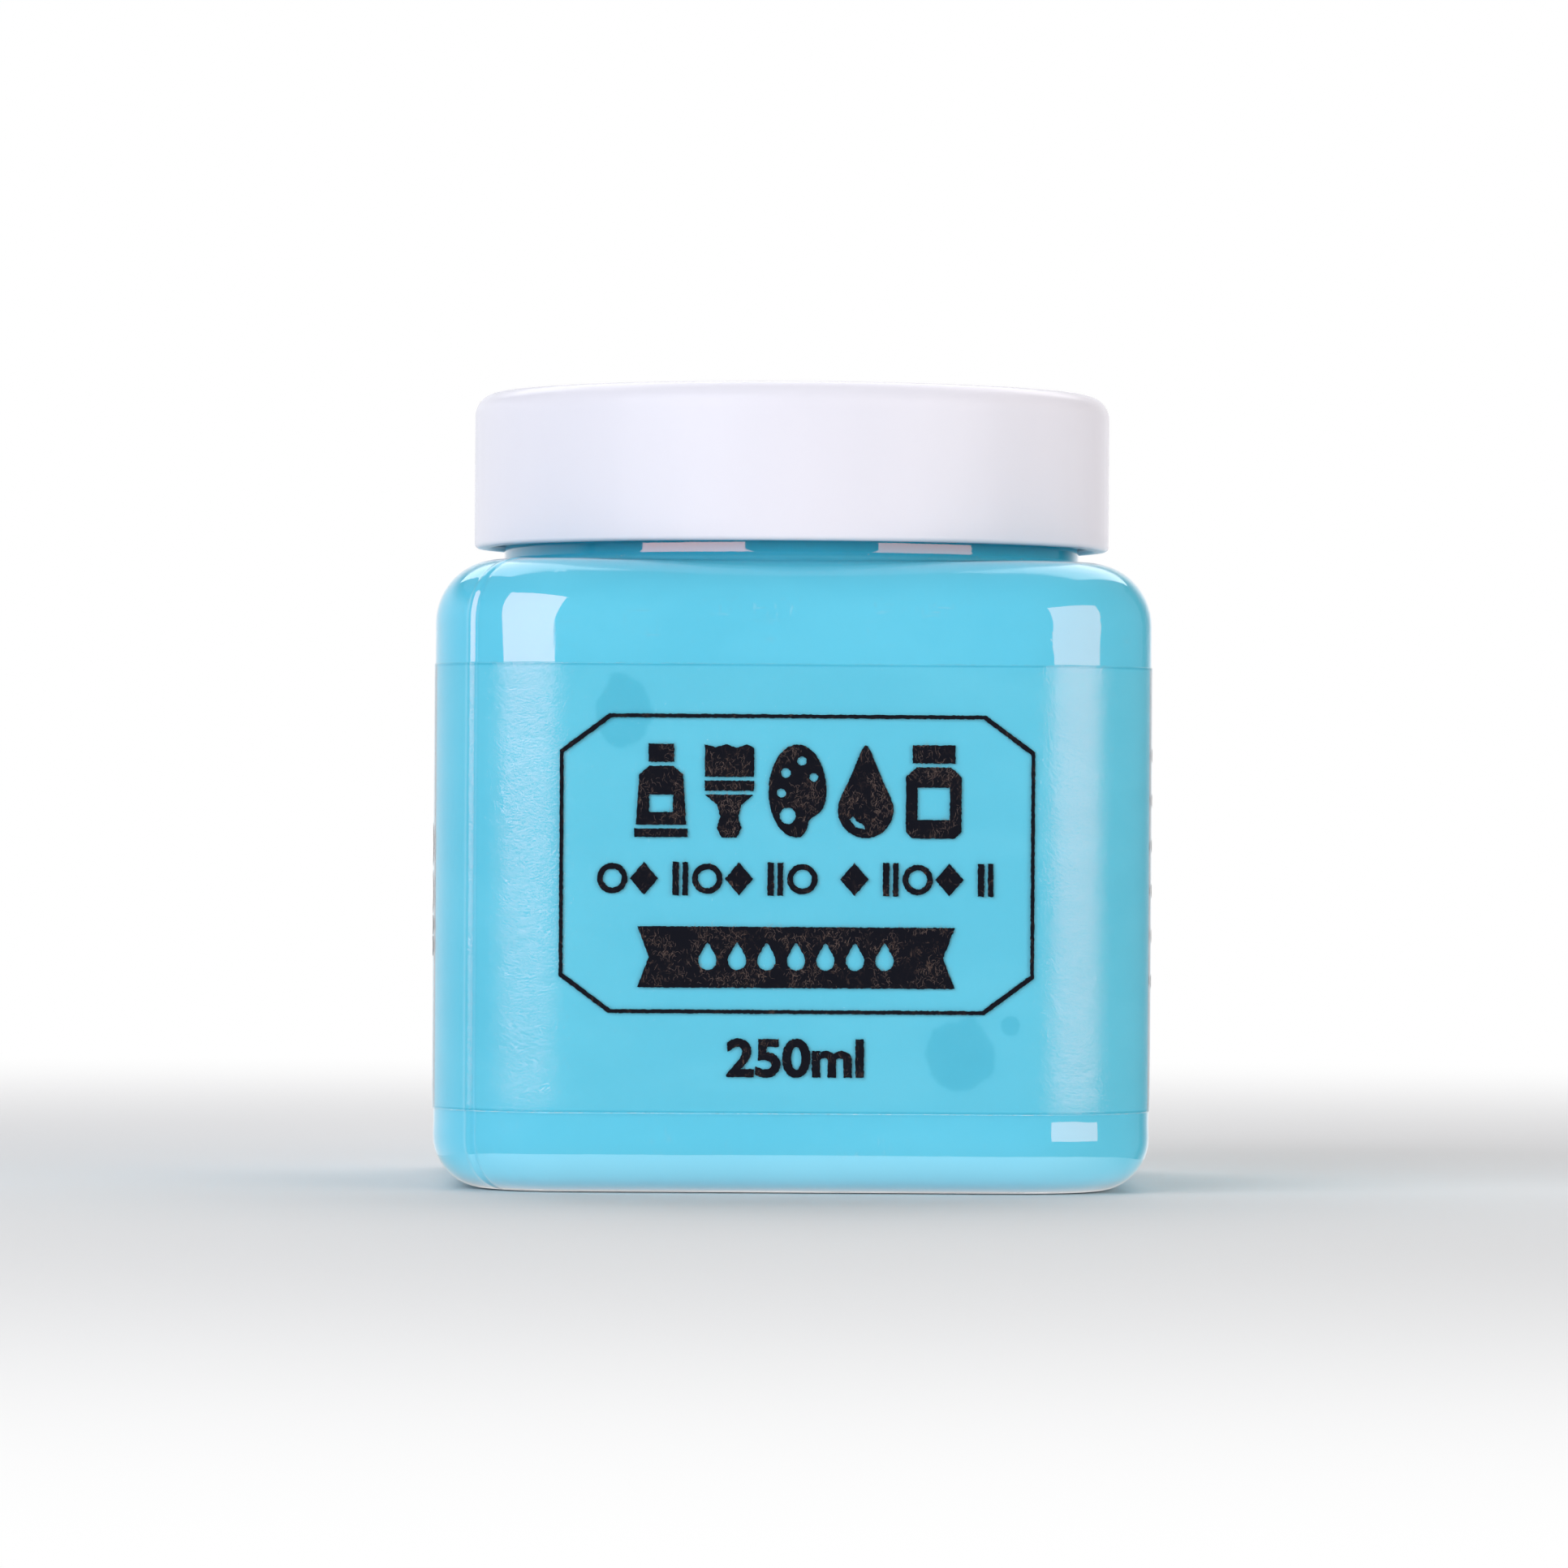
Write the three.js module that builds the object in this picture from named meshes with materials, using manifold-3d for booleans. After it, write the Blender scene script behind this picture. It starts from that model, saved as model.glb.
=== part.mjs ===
// A square 250 ml paint jar: a clear blow-moulded bottle with a round threaded neck, the paint that
// fills it, a clear printed film wrapped round it, a plain screw cap and the foam wad inside the cap.
// Millimetres, +Z up. The origin is the middle of the base, on the surface the jar stands on. The
// front face looks along -Y.
import * as THREE from 'three';
import { mergeVertices } from 'three/addons/utils/BufferGeometryUtils.js';
import Module from 'manifold-3d';

const wasm = await Module();
wasm.setup();

// Body
const BODY_WIDTH = 68; // over the film, the same both ways
const FILM_THICKNESS = 0.15;
const FILM_BED = 0.1; // adhesive between the film and the wall
const WALL = 0.9;
const CORNER_RADIUS = 13.25; // of the upright edges, at the outside of the wall
const BASE_RADIUS = 5;
const SHOULDER_RADIUS = 6;
const SHOULDER_HEIGHT = 59.4;
const STANDING_RING = 3.6; // width of the flat ring that the jar stands on
const PUSH_UP = 1.6; // depth of the hollow under the base
const PUSH_UP_SLOPE = 3; // width of the slope round the hollow

// Neck and thread, a 58 mm continuous thread finish of 6 turns to the inch
const NECK_RADIUS = 27.9;
const BORE_RADIUS = 26.3;
const NECK_ROOT_RADIUS = 0.8;
const RIM_HEIGHT = 73.5;
const RIM_CHAMFER = 0.4;
const PITCH = 25.4 / 6;
const THREAD_DEPTH = 0.95;
const THREAD_ROOT_WIDTH = 2;
const THREAD_CREST_WIDTH = 0.9;
const NECK_THREAD_START = 66.2; // height of the ridge's middle where its helix begins
const NECK_THREAD_TURNS = 1.25;
const CAP_THREAD_DROP = 1.7; // the cap's ridge runs this far below the neck's
const CAP_THREAD_TURNS = 1.2;
const CAP_THREAD_START_TURN = 0.1;
const THREAD_FADE_TURNS = 0.07; // length over which a ridge's end runs out into its wall

// Cap and wad
const CAP_RADIUS = 30.8;
const CAP_BOTTOM = 61.1;
const CAP_TOP = 76.1;
const CAP_TOP_WALL = 1.3;
const CAP_BORE_RADIUS = 29.2;
const CAP_TOP_EDGE = 2.2;
const CAP_BOTTOM_EDGE = 0.5;
const WAD_RADIUS = 28.7;
const WAD_THICKNESS = 1;
const WAD_GAP = 0.15; // above the wad and below it

// Paint and film
const PAINT_HEIGHT = 64.5; // level of 250 ml
const PAINT_GAP = 0.3;
const FILM_BOTTOM = 7.5;
const FILM_TOP = 49.5;

// Fineness of the facets
const CORNER_SEGMENTS = 5; // half the segments in a quarter turn of an upright edge
const EDGE_SEGMENTS = 6;
const ROUND_SEGMENTS = 72;
const EMBED = 0.5; // how far joined shapes reach into each other

const WALL_HALF = BODY_WIDTH / 2 - FILM_THICKNESS - FILM_BED;
const CORNER_CENTRE = WALL_HALF - CORNER_RADIUS;

function toSolid(geometry) {
  const bare = geometry.clone();
  bare.deleteAttribute('normal');
  bare.deleteAttribute('uv');
  const merged = mergeVertices(bare);
  return new wasm.Manifold(new wasm.Mesh({
    numProp: 3,
    vertProperties: new Float32Array(merged.attributes.position.array),
    triVerts: new Uint32Array(merged.index.array),
  }));
}

function toGeometry(solid) {
  const mesh = solid.getMesh();
  const geometry = new THREE.BufferGeometry();
  geometry.setAttribute('position', new THREE.BufferAttribute(mesh.vertProperties, 3));
  geometry.setIndex(new THREE.BufferAttribute(mesh.triVerts, 1));
  geometry.computeVertexNormals();
  return geometry;
}

// Points of a quarter round about (x, y), as (radius, height) pairs
function quarterRound(x, y, radius, startAngle, endAngle) {
  const arc = new THREE.EllipseCurve(x, y, radius, radius, startAngle, endAngle, endAngle < startAngle);
  return arc.getPoints(EDGE_SEGMENTS);
}

// A square with rounded corners whose upright edges have the given radius. All the body's squares
// share the same four corner centres.
function squareOutline(radius) {
  const c = CORNER_CENTRE;
  const quarter = Math.PI / 2;
  const outline = new THREE.Shape();
  outline.moveTo(c + radius, -c);
  outline.absarc(c, c, radius, 0, quarter);
  outline.absarc(-c, c, radius, quarter, 2 * quarter);
  outline.absarc(-c, -c, radius, 2 * quarter, 3 * quarter);
  outline.absarc(c, -c, radius, 3 * quarter, 4 * quarter);
  return outline;
}

// A solid whose square section changes with height. Each point of the profile is the corner radius
// and the height of one section, from the first flat end to the last.
function squareLoft(profile) {
  const sections = profile.length - 1;
  const geometry = new THREE.ExtrudeGeometry(squareOutline(CORNER_RADIUS), {
    depth: sections,
    steps: sections,
    bevelEnabled: false,
    curveSegments: CORNER_SEGMENTS,
  });
  const position = geometry.attributes.position;
  for (let i = 0; i < position.count; i += 1) {
    const x = position.getX(i);
    const y = position.getY(i);
    const section = profile[Math.round(position.getZ(i))];
    const centreX = THREE.MathUtils.clamp(x, -CORNER_CENTRE, CORNER_CENTRE);
    const centreY = THREE.MathUtils.clamp(y, -CORNER_CENTRE, CORNER_CENTRE);
    const scale = section.x / CORNER_RADIUS;
    position.setXYZ(i, centreX + (x - centreX) * scale, centreY + (y - centreY) * scale, section.y);
  }
  return geometry;
}

// A solid of revolution about Z from (radius, height) points
function turned(points) {
  const geometry = new THREE.LatheGeometry(points, ROUND_SEGMENTS);
  geometry.rotateX(Math.PI / 2);
  return geometry;
}

// A ridge of tapered section that winds up a right-handed helix. It reaches from footRadius, inside
// the wall that it stands on, to crestRadius, and both ends run out into that wall.
function threadRidge(footRadius, wallRadius, crestRadius, startTurn, turns, startHeight) {
  const section = new THREE.Shape();
  section.moveTo(0, -THREAD_ROOT_WIDTH / 2);
  section.lineTo(1, -THREAD_CREST_WIDTH / 2);
  section.lineTo(1, THREAD_CREST_WIDTH / 2);
  section.lineTo(0, THREAD_ROOT_WIDTH / 2);
  const steps = Math.round(turns * ROUND_SEGMENTS);
  const outward = crestRadius > wallRadius;
  const geometry = new THREE.ExtrudeGeometry(section, { depth: steps, steps, bevelEnabled: false });
  const position = geometry.attributes.position;
  for (let i = 0; i < position.count; i += 1) {
    const onCrest = position.getX(i) > 0.5;
    const along = outward ? steps - position.getZ(i) : position.getZ(i);
    const turn = (along / steps) * turns;
    const fade = Math.min(1, turn / THREAD_FADE_TURNS, (turns - turn) / THREAD_FADE_TURNS);
    const lowRadius = (footRadius + wallRadius) / 2;
    const radius = onCrest ? lowRadius + (crestRadius - lowRadius) * fade : footRadius;
    const angle = 2 * Math.PI * (startTurn + turn);
    const height = startHeight + PITCH * (startTurn + turn) + position.getY(i);
    position.setXYZ(i, radius * Math.cos(angle), radius * Math.sin(angle), height);
  }
  return geometry;
}

// Outline of the bottle's wall, or of a surface a given depth inside it: base hollow, standing ring,
// base edge, upright wall, shoulder edge
function bodyProfile(depth, top) {
  const wall = CORNER_RADIUS - depth;
  const baseCentre = CORNER_RADIUS - BASE_RADIUS;
  const shoulderCentre = CORNER_RADIUS - SHOULDER_RADIUS;
  const ringInside = baseCentre - STANDING_RING;
  return [
    new THREE.Vector2(ringInside - PUSH_UP_SLOPE, PUSH_UP + depth),
    new THREE.Vector2(ringInside, depth),
    ...quarterRound(baseCentre, BASE_RADIUS, wall - baseCentre, -Math.PI / 2, 0),
    ...quarterRound(shoulderCentre, top - (wall - shoulderCentre), wall - shoulderCentre, 0, Math.PI / 2),
  ];
}

function neck() {
  const root = NECK_RADIUS + NECK_ROOT_RADIUS;
  return turned([
    new THREE.Vector2(0, SHOULDER_HEIGHT - EMBED),
    new THREE.Vector2(root, SHOULDER_HEIGHT - EMBED),
    ...quarterRound(root, SHOULDER_HEIGHT + NECK_ROOT_RADIUS, NECK_ROOT_RADIUS, -Math.PI / 2, -Math.PI),
    new THREE.Vector2(NECK_RADIUS, RIM_HEIGHT - RIM_CHAMFER),
    new THREE.Vector2(NECK_RADIUS - RIM_CHAMFER, RIM_HEIGHT),
    new THREE.Vector2(0, RIM_HEIGHT),
  ]);
}

function bore(radius, bottom, top) {
  return turned([
    new THREE.Vector2(0, bottom),
    new THREE.Vector2(radius, bottom),
    new THREE.Vector2(radius, top),
    new THREE.Vector2(0, top),
  ]);
}

function jarBody() {
  const thread = threadRidge(
    NECK_RADIUS - EMBED,
    NECK_RADIUS,
    NECK_RADIUS + THREAD_DEPTH,
    0,
    NECK_THREAD_TURNS,
    NECK_THREAD_START,
  );
  const outside = toSolid(squareLoft(bodyProfile(0, SHOULDER_HEIGHT)))
    .add(toSolid(neck()))
    .add(toSolid(thread));
  const inside = toSolid(squareLoft(bodyProfile(WALL, SHOULDER_HEIGHT - WALL)))
    .add(toSolid(bore(BORE_RADIUS, SHOULDER_HEIGHT - WALL - EMBED, RIM_HEIGHT + EMBED)));
  return toGeometry(outside.subtract(inside));
}

function paintFill() {
  const depth = WALL + PAINT_GAP;
  const top = SHOULDER_HEIGHT - depth;
  const body = toSolid(squareLoft(bodyProfile(depth, top)));
  const inNeck = toSolid(bore(BORE_RADIUS - PAINT_GAP, top - EMBED, PAINT_HEIGHT));
  return toGeometry(body.add(inNeck));
}

function labelFilm() {
  const inner = CORNER_RADIUS + FILM_BED;
  const outline = squareOutline(inner + FILM_THICKNESS);
  outline.holes.push(squareOutline(inner));
  const geometry = new THREE.ExtrudeGeometry(outline, {
    depth: FILM_TOP - FILM_BOTTOM,
    bevelEnabled: false,
    curveSegments: CORNER_SEGMENTS,
  });
  geometry.translate(0, 0, FILM_BOTTOM);
  return geometry;
}

function screwCap() {
  const ceiling = CAP_TOP - CAP_TOP_WALL;
  const upperEdge = quarterRound(
    CAP_RADIUS - CAP_TOP_EDGE,
    CAP_TOP - CAP_TOP_EDGE,
    CAP_TOP_EDGE,
    0,
    Math.PI / 2,
  );
  const shell = turned([
    new THREE.Vector2(0, ceiling),
    new THREE.Vector2(CAP_BORE_RADIUS, ceiling),
    new THREE.Vector2(CAP_BORE_RADIUS, CAP_BOTTOM),
    new THREE.Vector2(CAP_RADIUS - CAP_BOTTOM_EDGE, CAP_BOTTOM),
    new THREE.Vector2(CAP_RADIUS, CAP_BOTTOM + CAP_BOTTOM_EDGE),
    ...upperEdge,
    new THREE.Vector2(0, CAP_TOP),
  ]);
  const thread = threadRidge(
    CAP_BORE_RADIUS + EMBED,
    CAP_BORE_RADIUS,
    CAP_BORE_RADIUS - THREAD_DEPTH,
    CAP_THREAD_START_TURN,
    CAP_THREAD_TURNS,
    NECK_THREAD_START - CAP_THREAD_DROP,
  );
  return toGeometry(toSolid(shell).add(toSolid(thread)));
}

function capLiner() {
  const geometry = new THREE.CylinderGeometry(WAD_RADIUS, WAD_RADIUS, WAD_THICKNESS, ROUND_SEGMENTS);
  geometry.rotateX(Math.PI / 2);
  return geometry;
}

function piece(name, geometry, color, roughness) {
  const material = new THREE.MeshStandardMaterial({ color, roughness, metalness: 0 });
  const mesh = new THREE.Mesh(geometry, material);
  mesh.name = name;
  return mesh;
}

const jar = new THREE.Group();
jar.add(piece('jar_body', jarBody(), 0xe3f3f6, 0.08));
jar.add(piece('paint_fill', paintFill(), 0x62c6de, 0.4));
jar.add(piece('label_film', labelFilm(), 0xd8eef3, 0.35));
jar.add(piece('screw_cap', screwCap(), 0xf1eff6, 0.25));

const liner = piece('cap_liner', capLiner(), 0xf5f4ee, 0.9);
liner.position.z = RIM_HEIGHT + WAD_GAP + WAD_THICKNESS / 2;
jar.add(liner);

export default jar;
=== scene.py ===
"""The looks of a square clear jar of turquoise paint with a white screw cap, built round its CAD frame.

Lengths are metres. X runs along the front face, the front looks along -Y and Z is up.
"""
import math
import random
from math import cos, exp, pi, radians, sin

import bmesh
import bpy
from mathutils import Matrix, Vector, noise


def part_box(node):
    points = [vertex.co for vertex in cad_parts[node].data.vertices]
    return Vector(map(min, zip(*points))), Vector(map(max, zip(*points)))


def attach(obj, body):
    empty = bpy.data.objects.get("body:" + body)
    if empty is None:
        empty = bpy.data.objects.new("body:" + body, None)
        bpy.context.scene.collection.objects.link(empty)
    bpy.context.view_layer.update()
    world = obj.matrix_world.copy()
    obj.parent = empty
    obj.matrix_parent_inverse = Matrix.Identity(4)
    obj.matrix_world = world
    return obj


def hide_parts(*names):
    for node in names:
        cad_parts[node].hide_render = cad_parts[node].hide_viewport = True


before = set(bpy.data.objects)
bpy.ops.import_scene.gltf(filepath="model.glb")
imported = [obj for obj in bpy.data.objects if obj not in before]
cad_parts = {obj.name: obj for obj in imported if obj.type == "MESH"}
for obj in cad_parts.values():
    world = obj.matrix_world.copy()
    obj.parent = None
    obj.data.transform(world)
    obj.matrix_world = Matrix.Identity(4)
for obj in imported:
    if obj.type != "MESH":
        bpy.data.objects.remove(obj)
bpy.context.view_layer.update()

MM = 0.001

# ---- sizes from the frame
RIM_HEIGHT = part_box("jar_body")[1][2]
PAINT_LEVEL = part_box("paint_fill")[1][2]
(_, _, FILM_BOTTOM), (FILM_HALF, _, FILM_TOP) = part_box("label_film")
(_, _, CAP_BOTTOM), (CAP_RADIUS, _, CAP_TOP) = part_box("screw_cap")
(_, _, WAD_BOTTOM), (WAD_RADIUS, _, WAD_TOP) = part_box("cap_liner")

# ---- the CAD model's other sizes
FILM_THICKNESS = 0.08 * MM
FILM_REST = FILM_HALF - FILM_THICKNESS
WALL_HALF = FILM_REST - 0.01 * MM
CORNER_CENTRE = 20.5 * MM
CORNER_RADIUS = WALL_HALF - CORNER_CENTRE
WALL = 0.9 * MM
BASE_RADIUS = 5 * MM
SHOULDER_RADIUS = 6 * MM
SHOULDER_HEIGHT = 59.4 * MM
STANDING_RING = 3.6 * MM
PUSH_UP = 1.6 * MM
PUSH_UP_SLOPE = 3 * MM
NECK_RADIUS = 27.9 * MM
BORE_RADIUS = 26.3 * MM
NECK_ROOT_RADIUS = 0.8 * MM
PITCH = 25.4 / 6 * MM
THREAD_DEPTH = 0.95 * MM
THREAD_ROOT_HALF = 1.0 * MM
THREAD_CREST_HALF = 0.45 * MM
NECK_THREAD_START = 66.2 * MM
NECK_THREAD_TURNS = (0, 1.25)
CAP_THREAD_DROP = 1.7 * MM
CAP_THREAD_TURNS = (0.1, 1.3)
THREAD_FADE_TURNS = 0.07
CAP_TOP_WALL = 1.3 * MM
CAP_BORE_RADIUS = 29.2 * MM
CAP_TOP_EDGE = 2.2 * MM

# ---- finer shape, for looks
CORNER_STEPS = 20
SIDE_STEPS = 26
EDGE_STEPS = 12
PARTING_DEPTH = 0.15 * MM
PARTING_STATIONS = (  # degrees off the corner's middle
    -7, -6, -5.2, -4.6, -4, -3.4, -2.8, -2.2, -1.7, -1.3, -0.9, -0.5, 0.5, 0.9, 1.4, 2.0,
)
PAINT_DEPTH = 0.12 * MM  # a wetted clear wall bends light, so the paint seems to fill it to here
GROOVE_HEIGHT = 6.7 * MM  # a faint hollow round the foot of the label panel
GROOVE_REACH = 1.25 * MM
GROOVE_DEPTH = 0.05 * MM
FILM_LAP = 5 * MM
FILM_SEAM = 9 * MM  # how far the lap is from the middle of the back
INK_LIFT = 0.004 * MM
INK_THICKNESS = 0.02 * MM


# ==== mesh helpers
def add_object(name, data):
    """A new object, linked to the scene."""
    thing = bpy.data.objects.new(name, data)
    bpy.context.scene.collection.objects.link(thing)
    return thing


def mesh_object(name, vertices, faces, materials, slots=None):
    """A smooth-shaded mesh piece from vertices and faces."""
    mesh = bpy.data.meshes.new(name)
    mesh.from_pydata([tuple(v) for v in vertices], [], faces)
    for m in materials:
        mesh.materials.append(m)
    if slots:
        mesh.polygons.foreach_set("material_index", slots)
    mesh.polygons.foreach_set("use_smooth", [True] * len(mesh.polygons))
    mesh.update()
    return add_object(name, mesh)


def skin_object(name, rings, materials, change=math.inf):
    """A closed piece through rings of equal length, each end closed by a fan about its middle. Bands
    from ring number change on have the second material."""
    count = len(rings[0])
    vertices = [point for ring in rings for point in ring]
    faces = []
    slots = []
    for i in range(len(rings) - 1):
        low, high = i * count, (i + 1) * count
        for k in range(count):
            n = (k + 1) % count
            faces.append((low + k, low + n, high + n, high + k))
            slots.append(int(i >= change))
    for ring, first in ((rings[0], 0), (rings[-1], (len(rings) - 1) * count)):
        middle = len(vertices)
        vertices.append(sum(ring, Vector()) / count)
        for k in range(count):
            n = (k + 1) % count
            faces.append((first + k, first + n, middle) if first else (n, k, middle))
            slots.append(int(first > 0 and change < len(rings)))
    return mesh_object(name, vertices, faces, materials, slots)


def arc(x, z, radius, start, end, steps):
    """Points of an arc in the plane of radius and height, angles in degrees."""
    angles = [radians(start + (end - start) * i / steps) for i in range(steps + 1)]
    return [(x + radius * cos(a), z + radius * sin(a)) for a in angles]


def spread(start, end, steps):
    """Evenly spaced values from start to end, both included."""
    return [start + (end - start) * i / steps for i in range(steps + 1)]


def turn_angles(count):
    """Equal angles once round a circle."""
    return [2 * pi * i / count for i in range(count)]


def smoothstep(x):
    x = min(1.0, max(0.0, x))
    return x * x * (3 - 2 * x)


# ---- the square section
def parting_depth(degrees):
    """Depth of the mould's parting groove at an angle round a corner, with a raised lip beside it."""
    off = degrees - 45
    return PARTING_DEPTH * (exp(-((off / 1.0) ** 2)) - 0.9 * exp(-(((off + 2.9) / 1.6) ** 2)))


def section_points():
    """(centre x, centre y, normal x, normal y, depth of the parting groove) of each point round the
    body. A point of a section with corner radius r is its centre plus r times its normal."""
    c = CORNER_CENTRE
    corners = [(1, 1), (-1, 1), (-1, -1), (1, -1)]
    points = []
    for quarter, signs in enumerate(corners):
        for degrees in sorted(spread(0, 90, CORNER_STEPS) + [45 + w for w in PARTING_STATIONS]):
            a = radians(quarter * 90 + degrees)
            depth = parting_depth(degrees) if quarter in (0, 2) else 0.0
            points.append((signs[0] * c, signs[1] * c, cos(a), sin(a), depth))
        after = corners[(quarter + 1) % 4]
        a = radians((quarter + 1) * 90)
        for i in range(1, SIDE_STEPS):
            t = i / SIDE_STEPS
            x = (signs[0] + (after[0] - signs[0]) * t) * c
            y = (signs[1] + (after[1] - signs[1]) * t) * c
            points.append((x, y, round(cos(a)), round(sin(a)), 0.0))
    return points


SECTION = section_points()
WALL_TOP = SHOULDER_HEIGHT - SHOULDER_RADIUS
GROOVE_END = 11 * MM
WALL_HEIGHTS = spread(BASE_RADIUS, GROOVE_END, 16)[1:] + spread(GROOVE_END, WALL_TOP, 10)[1:-1]


def groove(height):
    return GROOVE_DEPTH * exp(-(((height - GROOVE_HEIGHT) / GROOVE_REACH) ** 2))


def square_ring(radius, height):
    """One section of the body with the given corner radius."""
    radius -= groove(height)
    return [
        Vector((cx + (radius - parting) * nx, cy + (radius - parting) * ny, height))
        for cx, cy, nx, ny, parting in SECTION
    ]


POLAR = [math.atan2(p.y, p.x) for p in square_ring(CORNER_RADIUS - SHOULDER_RADIUS, 0)]


def round_ring(radius_at, height, angles=POLAR):
    """One round section. radius_at is a length, or a function of the angle and the height."""
    ring = []
    for a in angles:
        r = radius_at(a, height) if callable(radius_at) else radius_at
        ring.append(Vector((r * cos(a), r * sin(a), height)))
    return ring


def squares(points):
    return [square_ring(r, z) for r, z in points]


def rounds(points, angles=POLAR):
    return [round_ring(r, z, angles) for r, z in points]


def shoulder_height_at(x, y):
    """Height of the shoulder's outside over (x, y)."""
    start = CORNER_RADIUS - SHOULDER_RADIUS
    across = math.hypot(max(abs(x) - CORNER_CENTRE, 0), max(abs(y) - CORNER_CENTRE, 0)) - start
    if across <= 0:
        return SHOULDER_HEIGHT
    return SHOULDER_HEIGHT - SHOULDER_RADIUS + math.sqrt(SHOULDER_RADIUS**2 - across**2)


def shoulder_rings(square, round_radius, depth):
    """Rings over the shoulder from a square section to a round one, depth below the outside."""
    rings = []
    for t in spread(0, 1, 8)[1:]:
        ring = []
        for outer, angle, (*_, parting) in zip(square, POLAR, SECTION):
            x = outer.x + (round_radius * cos(angle) - outer.x) * t
            y = outer.y + (round_radius * sin(angle) - outer.y) * t
            ring.append(Vector((x, y, shoulder_height_at(x, y) - depth - parting * (1 - t))))
        rings.append(ring)
    return rings


def thread_height(angle, height, start_height, turns):
    """How far a thread ridge stands out of its wall at an angle and a height."""
    most = 0.0
    base_turn = (angle / (2 * pi)) % 1.0
    for lap in range(3):
        turn = base_turn + lap
        if not turns[0] <= turn <= turns[1]:
            continue
        fade = smoothstep(min(turn - turns[0], turns[1] - turn) / THREAD_FADE_TURNS)
        away = abs(height - start_height - PITCH * turn)
        rise = smoothstep((THREAD_ROOT_HALF - away) / (THREAD_ROOT_HALF - THREAD_CREST_HALF))
        most = max(most, THREAD_DEPTH * rise * fade)
    return most


def neck_radius_at(angle, height):
    return NECK_RADIUS + thread_height(angle, height, NECK_THREAD_START, NECK_THREAD_TURNS)


def cap_bore_at(angle, height):
    start = NECK_THREAD_START - CAP_THREAD_DROP
    return CAP_BORE_RADIUS - thread_height(angle, height, start, CAP_THREAD_TURNS)


# ==== material helpers
class Nodes:
    """A material's node tree, with short calls to add nodes and join them. A node given as a value
    stands for its first output."""

    def __init__(self, name):
        self.material = bpy.data.materials.new(name)
        self.material.use_nodes = True
        self.tree = self.material.node_tree
        self.tree.nodes.clear()
        self.out = self.tree.nodes.new("ShaderNodeOutputMaterial")

    def add(self, kind, inputs=None, **settings):
        node = self.tree.nodes.new("ShaderNode" + kind)
        for key, value in settings.items():
            setattr(node, key, value)
        for key, value in (inputs or {}).items():
            self.feed(node, key, value)
        return node

    def feed(self, node, key, value):
        """Join a node or an output to an input, or set the input. A colour is three numbers."""
        socket = node.inputs[key]
        if isinstance(value, bpy.types.Node):
            value = value.outputs[0]
        if isinstance(value, bpy.types.NodeSocket):
            self.tree.links.new(value, socket)
        else:
            socket.default_value = (*value, 1.0) if socket.type == "RGBA" else value

    def position(self, scale=(1, 1, 1)):
        """The point's place in its piece's own frame, stretched by scale."""
        here = self.add("TexCoord").outputs["Object"]
        return self.add("Mapping", {"Vector": here, "Scale": scale})

    def math(self, operation, a, b=0.0, c=0.0, clamp=False):
        return self.add("Math", {0: a, 1: b, 2: c}, operation=operation, use_clamp=clamp)

    def axis(self, name):
        """The point's X, Y or Z."""
        return self.add("SeparateXYZ", {0: self.position()}).outputs[name]

    def mix(self, share, a, b):
        """Shader a, with so much of it replaced by shader b."""
        return self.add("MixShader", {0: share, 1: a, 2: b})

    def times(self, first, *others):
        product = first
        for value in others:
            product = self.math("MULTIPLY", product, value)
        return product

    def times_add(self, a, b, c, clamp=False):
        """a times b plus c."""
        return self.math("MULTIPLY_ADD", a, b, c, clamp)

    def principled(self, colour, roughness, specular, more=None):
        inputs = {"Base Color": colour, "Roughness": roughness, "Specular IOR Level": specular}
        return self.add("BsdfPrincipled", inputs | (more or {}))

    def noise(self, scale, detail=2.0, distortion=0.0, rough=0.5, where=None):
        where = where or self.position()
        inputs = {"Vector": where, "Scale": scale, "Detail": detail, "Distortion": distortion}
        return self.add("TexNoise", inputs | {"Roughness": rough}).outputs["Fac"]

    def between(self, value, low, high, to_low=0.0, to_high=1.0):
        inputs = {"Value": value, "From Min": low, "From Max": high, "To Min": to_low, "To Max": to_high}
        return self.add("MapRange", inputs, clamp=True, interpolation_type="SMOOTHSTEP")

    def mix_colour(self, factor, a, b):
        node = self.add("Mix", data_type="RGBA")
        for key, value in ((0, factor), (6, a), (7, b)):
            self.feed(node, key, value)
        return node.outputs[2]

    def bump(self, height, strength, distance):
        return self.add("Bump", {"Height": height, "Strength": strength, "Distance": distance})

    def show(self, shader):
        self.tree.links.new(shader.outputs[0], self.out.inputs["Surface"])
        return self.material


def gloss_share(nodes, head_on, haze=None):
    """How much of a clear skin mirrors: head_on seen square, rising to all at a glance."""
    facing = nodes.add("LayerWeight", {"Blend": 0.5}).outputs["Facing"]
    edge = nodes.math("POWER", facing, 5.0)
    share = nodes.times_add(edge, 1 - head_on, head_on)
    return nodes.math("MAXIMUM", share, haze) if haze else share


# ---- materials
def band(nodes, value, low, high, soft):
    """1 where value lies between low and high, falling to 0 over soft outside."""
    rise = nodes.between(value, low - soft, low)
    fall = nodes.between(value, high, high + soft, 1.0, 0.0)
    return nodes.times(rise, fall)


BLISTER = (-22.0 * MM, -31.8 * MM, 57.9 * MM)  # a small blister in the wall, on the shoulder


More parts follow.
